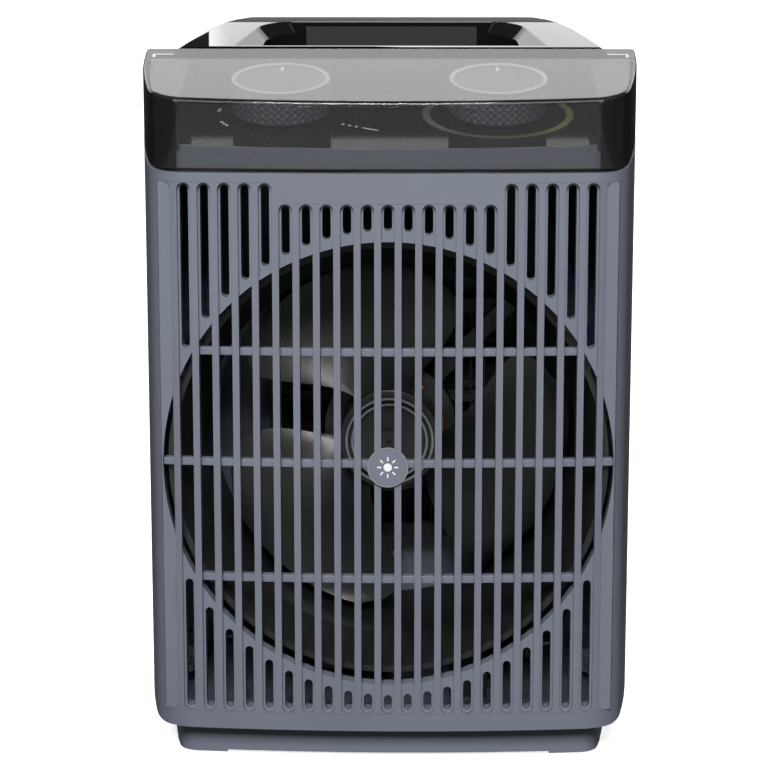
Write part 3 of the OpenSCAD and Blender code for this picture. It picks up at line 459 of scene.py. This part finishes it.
def arc(centre, radius, a, b, n):
    steps = [a + (b - a) * i / n for i in range(1, n + 1)]
    return [(centre[0] + radius * math.cos(t), centre[1] + radius * math.sin(t)) for t in steps]


BOW_C, SIDE_C, REAR_C = (0, BOW_R), (HALF_W - SIDE_R, SPLIT), (0, DEPTH - REAR_R)
CORNER_A = meet(BOW_C, BOW_R - CORNER_R, SIDE_C, SIDE_R - CORNER_R)
CORNER_B = meet(REAR_C, REAR_R - REAR_CORNER_R, SIDE_C, SIDE_R - REAR_CORNER_R)


def outline(inset, rear_inset=None):
    """Plan points (x, depth), anticlockwise from the middle of the front."""
    turns = (bearing(BOW_C, CORNER_A), bearing(SIDE_C, CORNER_A),
             bearing(SIDE_C, CORNER_B), bearing(REAR_C, CORNER_B))
    half = [(0, inset)]
    half += arc(BOW_C, BOW_R - inset, -math.pi / 2, turns[0], 14)
    half += arc(CORNER_A, CORNER_R - inset, turns[0], turns[1], 16)
    half += arc(SIDE_C, SIDE_R - inset, turns[1], turns[2], 16)
    half += arc(CORNER_B, REAR_CORNER_R - inset, turns[2], turns[3], 24)
    half += arc(REAR_C, REAR_R - inset, turns[3], math.pi / 2, 8)
    return half + [(-x, d) for x, d in half[-2:0:-1]]


def top_plane(h):
    """Height, over a depth, of the plane h above the sloping top."""
    return lambda d: TOP_Z + d * TAN + h / COS


def casing_top(lift):
    return lambda d: CASING_TOP + lift + max(0, d - FLAT_D) * TAN


def ring(inset, z, limit=None):
    """The outline, moved in by inset, at a height z or on a surface z(depth)."""
    made = []
    for x, d in outline(inset):
        if limit:
            x = max(-limit, min(limit, x))
        made.append((x, FRONT + d, z(d) if callable(z) else z))
    return made


def on_top(x, l, h):
    """A point in the frame of the sloping top, in the row frame."""
    return (x, FRONT + l * COS - h * SIN, TOP_Z + l * SIN + h * COS)


def rod(name, radius, start, end, n=64):
    """A round cutter or bar between two points."""
    a, b = Vector(start), Vector(end)
    turn = (b - a).to_track_quat("Z", "Y")
    spots = [turn @ Vector((radius * math.cos(t), radius * math.sin(t), 0))
             for t in (2 * math.pi * i / n for i in range(n))]
    return loft(name, [[a + s for s in spots], [b + s for s in spots]])


def slab_y(name, profile, d0, d1):
    """A closed profile of (x, z) points, run from one depth to another."""
    return loft(name, [[(x, FRONT + d, z) for x, z in profile] for d in (d0, d1)])


def stadium(x, width, low, high, n=10):
    r = width / 2
    upper = [(x + r * math.cos(t), high - r + r * math.sin(t))
             for t in (math.pi * i / n for i in range(n + 1))]
    lower = [(x + r * math.cos(t), low + r + r * math.sin(t))
             for t in (math.pi + math.pi * i / n for i in range(n + 1))]
    return upper + lower


def bow(x):
    """Depth of the front face at x, its rounded corner included."""
    if abs(x) > CORNER_A[0] * BOW_R / (BOW_R - CORNER_R):
        reach = min(abs(x) - CORNER_A[0], CORNER_R)
        return CORNER_A[1] - math.sqrt(CORNER_R ** 2 - reach ** 2)
    return BOW_R - math.sqrt(BOW_R ** 2 - x * x)


def plain_bow(x):
    return BOW_R - math.sqrt(BOW_R ** 2 - x * x)


# ---- Front casing and grille, drawn as one shell and then parted ----


def front_shell():
    """The front half's wall, with deep bars between the slots and soft slot edges."""
    bars = math.asin(min(1, (FRONT_X - 0.2) / (BOW_R - FLOOR_D)))

    def inner(z):
        bowed = [(0, FLOOR_D)] + arc(BOW_C, BOW_R - FLOOR_D, -math.pi / 2, bars - math.pi / 2, 12)
        sides = [(x, d) for x, d in outline(WALL) if x > FRONT_X and d < SPLIT + 5]
        half = bowed + sides
        half += [(half[-1][0], SPLIT + 20)]
        points = half + [(-x, d) for x, d in half[::-1][:-1]]
        return [(x, FRONT + d, z) for x, d in points]

    shell = loft("front_casing", [ring(0, CASING_LOW), ring(0, casing_top(0))])
    corners = stadium(0, 2 * (HALF_W + 5), CASING_LOW, CASING_TOP + 40)
    lower = [(HALF_W - LOWER_R + LOWER_R * math.sin(t), CASING_LOW + LOWER_R * (1 - math.cos(t)))
             for t in (math.pi / 2 * i / 10 for i in range(11))]
    corners = lower + [(HALF_W + 1, CASING_TOP + 60)]
    corners += [(-x, z) for x, z in corners[::-1]]
    cut(shell, slab_y("body_sides", corners, -5, DEPTH + 5), operation="INTERSECT")
    cut(shell, loft("hollow", [inner(CASING_LOW + WALL), inner(CASING_TOP + 80)]))
    slice_off(shell, (0, FRONT + SPLIT - PART_GAP / 2, 0), (0, 1, 0))
    for i in range(-SIDE_SLOTS, SIDE_SLOTS + 1):
        high = SLOT_SHORT if abs(i) <= SHORT_SLOTS else SLOT_TALL
        cut(shell, slab_y("slot", stadium(i * PITCH, SLOT_W, SLOT_LOW, high), -3, 27))
    return soften(shell, 0.45)


FRONT_X = SIDE_SLOTS * PITCH + SLOT_W / 2


def insert_prism(name, gap):
    """The insert's outline: it touches the slots' ends and steps down over the short ones."""
    grow = SEAM - gap
    low, short, tall = SLOT_LOW - grow, SLOT_SHORT + grow, SLOT_TALL + grow
    x_in, x_out = (SHORT_SLOTS - 0.2) * PITCH + grow, (SHORT_SLOTS + 0.74) * PITCH + grow
    half = [(FRONT_X + grow, low), (FRONT_X + grow, tall), (x_out, tall),
            (x_in + 1.6, short + 0.9), (x_in, short)]
    return slab_y(name, half + [(-x, z) for x, z in half[::-1]], -4, 30)


def bow_slab(name, near, far, low, high, reach):
    """A plate that follows the front's bow between two depths behind it."""
    turn = math.asin(reach / BOW_R)

    def edge(offset):
        right = [(0, offset)] + arc(BOW_C, BOW_R - offset, -math.pi / 2, turn - math.pi / 2, 12)
        return [(-x, d) for x, d in right[:0:-1]] + right

    profile = edge(near) + edge(far)[::-1]
    return loft(name, [[(x, FRONT + d, z) for x, d in profile] for z in (low, high)])


def grille_floor():
    """The plate behind the bars: open at the outlet, with a dark pocket in every slot."""
    plate = bow_slab("grille_floor", LEDGE_D, FLOOR_D + FLOOR_T, SLOT_LOW - 2, SLOT_TALL + 1,
                     FRONT_X - 0.02)
    cut(plate, insert_prism("insert", 0.14), operation="INTERSECT")
    mouth = rod("outlet", OUTLET_R, (0, FRONT, AXIS_Z), (0, FRONT + 30, AXIS_Z), 160)
    cut(plate, mouth)
    reach = OUTLET_R + 4.5
    for i in range(1 - SIDE_SLOTS, SIDE_SLOTS):
        high = (SLOT_SHORT if abs(i) <= SHORT_SLOTS else SLOT_TALL) - 1.1
        near = abs(i * PITCH) + POCKET_W / 2
        clear_z = math.sqrt(reach ** 2 - near ** 2) if near < reach else 0
        for low, top in ((SLOT_LOW + 1.1, AXIS_Z - clear_z), (AXIS_Z + clear_z, high)):
            if top - low > POCKET_W:
                cut(plate, slab_y("pocket", stadium(i * PITCH, POCKET_W, low, top, 6), 0, 25))
    return plate


def cross_bars():
    """Three bars behind the slots, each between the ends of its chord."""
    made = []
    for z in (AXIS_Z - 48.2, CROSS_MID, AXIS_Z + 47.1):
        rise = max(abs(z - 1.6 - AXIS_Z), abs(z + 1.6 - AXIS_Z))
        reach = math.sqrt((OUTLET_R + 0.6) ** 2 - rise ** 2)
        made.append(bow_slab("cross_bar", 4.5, 8.5, z - 1.6, z + 1.6, reach))
    return soften(join(*made), 0.4)


shell = front_shell()
insert = clone(shell, "front_grille")
cut(insert, insert_prism("insert", 0.04), operation="INTERSECT")
cut(shell, insert_prism("window", -0.04))
finish_piece(shell, slate, "heater", ["front_casing"])
finish_piece(join(insert, grille_floor()), slate_inner, "heater", ["front_grille"])
finish_piece(cross_bars(), slate_inner, "heater")

# ---- Lid and top housing ----


def rounded_top(inset, radius, n=4):
    """Steps (height, inset) that round an edge under the top plane."""
    turns = (math.pi / 2 * i / n for i in range(n + 1))
    return [(radius * (math.sin(t) - 1), inset + radius * (1 - math.cos(t))) for t in turns]


def drop_front(obj, l):
    slice_off(obj, on_top(0, l, 0), (0, -COS, -SIN))


def drop_rear(obj, l):
    slice_off(obj, on_top(0, l, 0), (0, COS, SIN))


def clear_lid():
    """A thin cover: a flat top, a deep bowed front wall and side walls."""
    steps = rounded_top(0, 1.3)
    foot = [ring(i, casing_top(z)) for i, z in ((1, 0.8), (0.45, 0.95), (0.12, 1.3), (0, 1.8))]
    outer = loft("lid", foot + [ring(i, top_plane(h)) for h, i in steps])
    steps = rounded_top(LID_T, 0.7, 3)
    inner = loft("inside", [ring(LID_T, casing_top(-9))]
                 + [ring(i, top_plane(h - LID_T)) for h, i in steps])
    drop_rear(outer, LID_L)
    cut(outer, inner)
    return soften(outer, 0.35, 2, 50)


def opening_ring(h, wide, narrow, rear):
    """The handle opening's outline at a height: wide in front, narrower behind."""
    l0, r = LID_L + 4.5, 16
    turn = math.atan2(wide - narrow, rear - l0)
    reach = r * math.tan((math.pi / 2 - turn) / 2)
    centre = (narrow - r / math.cos(turn) + r * math.tan(turn), rear - r)
    half = [(wide, l0)] + [(centre[0] + r * math.cos(t), centre[1] + r * math.sin(t))
                           for t in (turn + (math.pi / 2 - turn) * i / 10 for i in range(11))]
    return [on_top(x, l, h) for x, l in half + [(-x, l) for x, l in half[::-1]]]


def housing():
    """The gloss ring: a crowned moulding with the carry opening and two cheeks forward."""
    steps = [(-29.9, 0.4), (-22, 1), (-16, 1.5), (-11, 2.4), (4, 4)]
    crown = loft("top_housing", [ring(i, top_plane(h)) for h, i in steps])
    back = [(LID_L - 20, -80), (LID_L - 20, 0), (110.6, 0), (119.5, -0.3), (121.5, -0.8),
            (123.5, -1.4), (125.2, -2), (126.6, -2.9), (127.8, -4.2), (128.8, -6.4),
            (129.6, -9.6), (130.2, -14), (133, -80)]
    hood = [[on_top(x, l, h) for l, h in back] for x in (-120, 120)]
    cut(crown, loft("rear_rounding", hood), operation="INTERSECT")
    plan = [(94, 55), (89.5, 74), (83.5, 90), (77.5, 104), (73.5, 111), (68.5, 116), (62, 120),
            (53, 123.4), (38, 127), (14, 129)]
    taper = [[on_top(x + k * s, l + k * 0.6, h) for x, l, s in
              [(x, l, 1) for x, l in plan] + [(-x, l, -1) for x, l in plan[::-1]]]
             for h, k in ((-40, 24), (-24, 15), (-14, 9), (-8, 5.4), (-4, 3), (-1.8, 1.5),
                          (-0.7, 0.5), (0, -0.6), (0.5, -2))]
    cut(crown, loft("side_rounding", taper), operation="INTERSECT")
    drop_front(crown, LID_L + LID_GAP)
    mouth = [(3, 67.2, 56, 111.4), (0, 67.2, 56, 111.4), (-0.5, 66, 55.4, 111.1),
             (-4.6, 57.2, 53.4, 111), (-5.6, 56.6, 53.2, 111), (-25.2, 56.6, 53.2, 111)]
    cut(crown, loft("finger_opening", [opening_ring(*size) for size in mouth]))
    hook = [[on_top(x, l, h) for x, l in ((-53, 100), (53, 100), (53, 118.6), (-53, 118.6))]
            for h in (-12.5, -25.2)]
    cut(crown, loft("finger_hook", hook))
    soften(crown, 0.35, 2, 50)
    cheek = loft("cheeks", [ring(CHEEK_INSET, top_plane(h)) for h in (-21.6, -3.4)])
    middle = slab_y("middle", [(CHEEK_X, 200), (CHEEK_X, 400), (-CHEEK_X, 400), (-CHEEK_X, 200)],
                    -10, 200)
    cut(cheek, middle)
    drop_rear(cheek, LID_L + LID_GAP + 0.2)
    sweep = [(0.1, 4.5), (0.1, -2.8), (-0.6, -3.8), (-0.6, -6.5), (6.7, -6.5), (6.7, 4.5)]
    sweep = [[on_top(x, PIVOT_L + l, PIVOT_H + h) for l, h in sweep] for x in (-120, 120)]
    cut(cheek, loft("lid_sweep", sweep))
    soften(cheek, 0.5)
    return join(crown, cheek)


def spot_on_top(point):
    """A point's (l, h) in the frame of the sloping top, in millimetres."""
    y, z = point.y / MM - FRONT, point.z / MM - TOP_Z
    return y * COS + z * SIN, z * COS - y * SIN


def lid_gap_painted_shade():
    """A black rubber strip in the gap under the lid's walls: painted shade for the gap's dark line."""
    strip = loft("lid_gap_painted_shade", [ring(0.9, casing_top(z)) for z in (-1.2, 0.55)])
    cut(strip, loft("inside", [ring(3.1, casing_top(z)) for z in (-3, 3)]))
    drop_rear(strip, LID_L + LID_GAP - 1)
    return soften(strip, 0.2)


cover = finish_piece(clear_lid(), clear, "lid", ["lid"])
cover.data.materials.append(smoked_edge_painted_shade.data)
# The side walls, rounded edges, rear end and lower rim take the darker copy as painted shade.
for face in cover.data.polygons:
    x, y, z = face.center / MM
    side_wall = abs(face.normal.x) > 0.32 and face.normal.z < 0.5
    edge = 0.5 < face.normal.z * COS - face.normal.y * SIN < 0.9
    end = spot_on_top(face.center)[0] > LID_L - 0.6 or z - casing_top(0)(y - FRONT) < 1.9
    if side_wall or edge or end:
        face.material_index = 1
# The black strip in the lid's gap is painted shade.
finish_piece(lid_gap_painted_shade(), rubber, "heater")
ring_piece = finish_piece(housing(), black_gloss, "heater", ["top_housing"])
ring_piece.data.materials.append(dull_black.data)
ring_piece.data.materials.append(bar_painted_shade.data)
# Faces under the lid take dull black; the rear bar's top takes the painted shade copy.
for face in ring_piece.data.polygons:
    l, h = spot_on_top(face.center)
    if l < LID_L + LID_GAP - 0.1:
        face.material_index = 1
    elif l > 111 and h > -8 and face.normal.z > 0.3:
        face.material_index = 2

# ---- Knobs ----


def knob(name, x, replaced, body):
    """A turned knob: diamond knurl, a glossy rim painted light grey as a highlight, and a dished top."""
    radius, count = KNOB_D / 2, 216
    base = PANEL_H + KNOB_LIFT
    rings = []

    def turned(r, h):
        rings.append([on_top(x + r * math.cos(t), KNOB_L + r * math.sin(t), base + h)
                      for t in (2 * math.pi * j / count for j in range(count))])

    turned(radius - 1.6, 0)
    turned(radius - 1.0, 0.25)
    turned(radius - 0.9, 1.2)
    rows, low, high = 20, 1.5, KNOB_H - 2.2
    for k in range(rows + 1):
        h = low + (high - low) * k / rows
        spots = []
        for j in range(count):
            t = 2 * math.pi * j / count
            u, v = (j + k * 1.2) % 6 / 6, (j - k * 1.2) % 6 / 6
            ridge = min(abs(u - 0.5), abs(v - 0.5)) * 2
            r = radius - 0.75 * (1 - min(1, ridge * 1.6))
            spots.append(on_top(x + r * math.cos(t), KNOB_L + r * math.sin(t), base + h))
        rings.append(spots)
    for r, h in ((radius - 0.9, high + 0.25), (radius - 0.35, high + 0.45), (radius, high + 0.9),
                 (radius, KNOB_H - 0.6), (radius - 0.25, KNOB_H - 0.15), (radius - 0.7, KNOB_H),
                 (radius - 1.5, KNOB_H - 0.05), (radius - 2.1, KNOB_H - 0.6),
                 (radius - 3, KNOB_H - 1.25), (radius - 12, KNOB_H - 1.3), (1.5, KNOB_H - 1.3)):
        turned(r, h)
    made = finish_piece(loft(name, rings), knob_slate, body, [replaced], 40)
    # The rim's top faces take the light grey painted highlight.
    made.data.materials.append(rim_painted_highlight.data)
    for face in made.data.polygons:
        if spot_on_top(face.center)[1] > base + KNOB_H - 0.5:
            face.material_index = 1
    return made


knob("left_knob", -KNOB_X, "power_knob", "power_control")
knob("right_knob", KNOB_X, "thermostat_knob", "thermostat_control")

# ---- Carried-over nodes that get softer edges ----


def softened_copy(node, width, material, body, angle=40):
    """A moulding with the node's own shape and rounded edges."""
    made = clone(frame["nodes"][node], node + "_moulded")
    made.parent = None
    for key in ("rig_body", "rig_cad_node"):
        if key in made:
            del made[key]
    made.data.transform([[1 / MM if r == c and r < 3 else float(r == c) for c in range(4)]
                         for r in range(4)])
    edit(made)
    bpy.ops.mesh.remove_doubles(threshold=0.002)
    bpy.ops.mesh.dissolve_limited(angle_limit=math.radians(1))
    done_editing()
    soften(made, width, 2, angle)
    return finish_piece(made, material, body, [node])


FINISHES = {
    "slate": slate, "slate_knob": knob_slate, "gloss_black": black_gloss,
    "smoked_clear": clear, "soft_grip": soft_black, "black_plastic": dull_black,
    "fan_black": fan_black, "duct_grey": duct_grey, "rubber": rubber, "bright_metal": bright,
    "steel": steel, "aluminium": aluminium, "bronze": bronze, "copper": copper,
    "ceramic": ceramic, "steatite": terminal_white, "terminal_white": terminal_white,
    "lead_sleeve": lead_blue, "white_print": white_print, "dial_print": dial,
}
softened_copy("base_plinth", 0.5, slate, "heater")
softened_copy("rear_casing", 0.4, slate, "heater")
softened_copy("top_bezel", 0.3, slate, "heater")
for part in frame["record"]["subparts"]:
    obj = frame["nodes"][part["node"]]
    obj.data.materials.clear()
    obj.data.materials.append(FINISHES[part["material_slot"]].data)
frame["nodes"]["control_panel"].data.materials[0] = panel_black.data
# Painted shade: the parts inside the body take the near-black steel.
for name in ("lid_hinge_pins", "motor_bracket", "motor_stator", "motor_screws", "duct_screws", "fan_nut"):
    frame["nodes"][name].data.materials[0] = steel_painted_shade.data


def filter_gauze():
    """The fine black gauze that the dust filter's frame holds."""
    low, high = edge_mm("dust_filter")
    middle = (low.y + high.y) / 2
    edges = [(low.x + 1, low.z + 1), (high.x - 1, low.z + 1), (high.x - 1, high.z - 1),
             (low.x + 1, high.z - 1)]
    return loft("filter_gauze", [[(x, y, z) for x, z in edges] for y in (middle - 0.1, middle + 0.1)])


finish_piece(filter_gauze(), gauze, "heater")



def wheel():
    """Three wide thin blades, swept and twisted, round a shallow cup."""
    near, far = wheel_low.y, wheel_high.y
    tip, hub = (wheel_high.z - wheel_low.z) / 2 - 0.4, 22
    shaft = (edge_mm("motor_shaft")[1].x - edge_mm("motor_shaft")[0].x) / 2
    made = []
    for k in range(3):
        stations = []
        for i in range(17):
            s = i / 16
            r = hub - 1.5 + (tip - hub + 1.5) * s
            half = math.radians(30 + 17 * math.sin(2.3 * s)) * (1 - 0.35 * s ** 12)
            faces = ([], [])
            for j in range(21):
                t = -1 + j / 10
                a = math.radians(96 - 120 * k + 16 * s) + half * t
                y = (near + far) / 2 + 1 - (8.5 - 2.5 * s) * t + 1.8 * (1 - t * t)
                thick = 0.2 + 0.8 * math.sqrt(1 - t ** 8)
                for side, way in zip(faces, (-1, 1)):
                    side.append((r * math.cos(a), y + way * thick, AXIS_Z + r * math.sin(a)))
            stations.append(faces[0] + faces[1][::-1])
        made.append(soften(loft("blade", stations), 0.3, 2, 60))
    turned = [[(r * math.cos(t), y, AXIS_Z + r * math.sin(t))
               for t in (2 * math.pi * j / 96 for j in range(96))]
              for r, y in ((hub - 1.2, near + 2), (hub - 0.4, near + 2.3), (hub, near + 3.1),
                           (hub, far - 0.6), (hub - 0.4, far - 0.2))]
    cup = loft("fan_wheel", turned)
    cut(cup, rod("cup_inside", hub - 2.2, (0, near + 5, AXIS_Z), (0, far + 5, AXIS_Z)))
    boss = rod("boss", 6, (0, near + 4, AXIS_Z), (0, far - 2, AXIS_Z))
    bore = rod("bore", shaft + 0.02, (0, near - 5, AXIS_Z), (0, far + 5, AXIS_Z))
    cut(cup, clone(bore, "bore_copy"))
    cut(boss, bore)
    return join(cup, boss, *made)


finish_piece(wheel(), fan_black, "fan", ["fan_wheel"])
# The heater pack's fins, electrodes, ceramic rows and frame take the near-black painted shade.
for name in ("heater_fins", "heater_electrodes", "ceramic_rows", "heater_frame"):
    for at in range(len(frame["nodes"][name].data.materials)):
        frame["nodes"][name].data.materials[at] = fins_painted_shade.data

# ---- Floor, light and camera ----


def studio_card(name, size, place, towards, colour, strength, **rays):
    """A soft panel light that faces a point."""
    data = bpy.data.lights.new(name, "AREA")
    data.shape = "RECTANGLE"
    data.size, data.size_y = size
    data.energy, data.color = strength, colour
    lamp = bpy.data.objects.new(name, data)
    lamp.location = place
    lamp.rotation_euler = (Vector(towards) - Vector(place)).to_track_quat("-Z", "Y").to_euler()
    for key, value in rays.items():
        setattr(lamp, key, value)
    bpy.context.scene.collection.objects.link(lamp)
    return lamp


def backdrop():
    """A pale glowing floor, and a pale wall behind that only the camera sees."""
    for name, place, tilt in (("floor", (0, 0, 0), 0), ("wall", (0, 3.2, 0), math.pi / 2)):
        bpy.ops.object.select_all(action="DESELECT")
        bpy.ops.mesh.primitive_plane_add(size=60, location=place, rotation=(tilt, 0, 0))
        sheet = bpy.context.object
        sheet.name = name
        paper = Material(name + "_paper", (0.8, 0.8, 0.8), 0.9)
        paper.set("Emission Color", (1, 1, 1, 1))
        paper.set("Emission Strength", 0.8 if name == "floor" else 1.2)
        tone = paper.noise(3, 2)
        paper.set("Base Color", paper.mix(tone, (0.79, 0.79, 0.79, 1), (0.81, 0.81, 0.81, 1)))
        sheet.data.materials.append(paper.data)
        sheet.visible_diffuse = False
        sheet.visible_glossy = False
        sheet.visible_shadow = False


def mirrored_card(name, width, low, high, glow):
    """A card that only glossy surfaces see, between two (y, z) edges."""
    half = width / 2
    sheet = loft(name, [[(-half, *low), (half, *low), (half, *high), (-half, *high)]])
    paper = Material(name + "_paper", (0.01, 0.01, 0.01), 0.9)
    paper.set("Emission Color", (1, 1, 1, 1))
    paper.set("Emission Strength", glow)
    sheet.data.materials.append(paper.data)
    for rays in ("camera", "diffuse", "shadow", "transmission"):
        setattr(sheet, "visible_" + rays, False)


def studio():
    world = bpy.data.worlds.new("studio")
    world.use_nodes = True
    world.node_tree.nodes["Background"].inputs["Color"].default_value = (1, 1, 1, 1)
    world.node_tree.nodes["Background"].inputs["Strength"].default_value = 0.1
    bpy.context.scene.world = world
    studio_card("over_back", (2.4, 1.3), (0, 2.15, 2.05), (0, 0, 0.25), (1, 1, 1), 34,
                visible_glossy=False)
    studio_card("key", (1.0, 1.0), (-0.1, -2.4, 1.9), (0, 0, 0.15), (1, 0.99, 0.97), 128)
    mirrored_card("low_dark_card", 8, (1.2, -0.3), (1.2, 0.76), 0)
    mirrored_card("bright_floor_card", 5, (-5, -0.02), (-0.25, -0.002), 0.8)
    mirrored_card("wide_back_card", 9, (2.95, 1.22), (1.78, 2.62), 3.2)
    bpy.context.scene.view_settings.view_transform = "Standard"


def camera():
    pitch, turn, reach = math.radians(10.556), math.radians(0.896), 0.9623
    aim = Vector((-1.55, FRONT, 161.6)) * MM
    back = Vector((math.sin(turn) * math.cos(pitch), -math.cos(turn) * math.cos(pitch),
                   math.sin(pitch)))
    data = bpy.data.cameras.new("view")
    data.lens, data.sensor_width = 2371 / 768 * 36, 36
    data.clip_start, data.clip_end = 0.01, 100
    eye = bpy.data.objects.new("view", data)
    eye.location = aim + back * reach
    eye.rotation_euler = (-back).to_track_quat("-Z", "Y").to_euler()
    bpy.context.scene.collection.objects.link(eye)
    bpy.context.scene.camera = eye


backdrop()
studio()
camera()
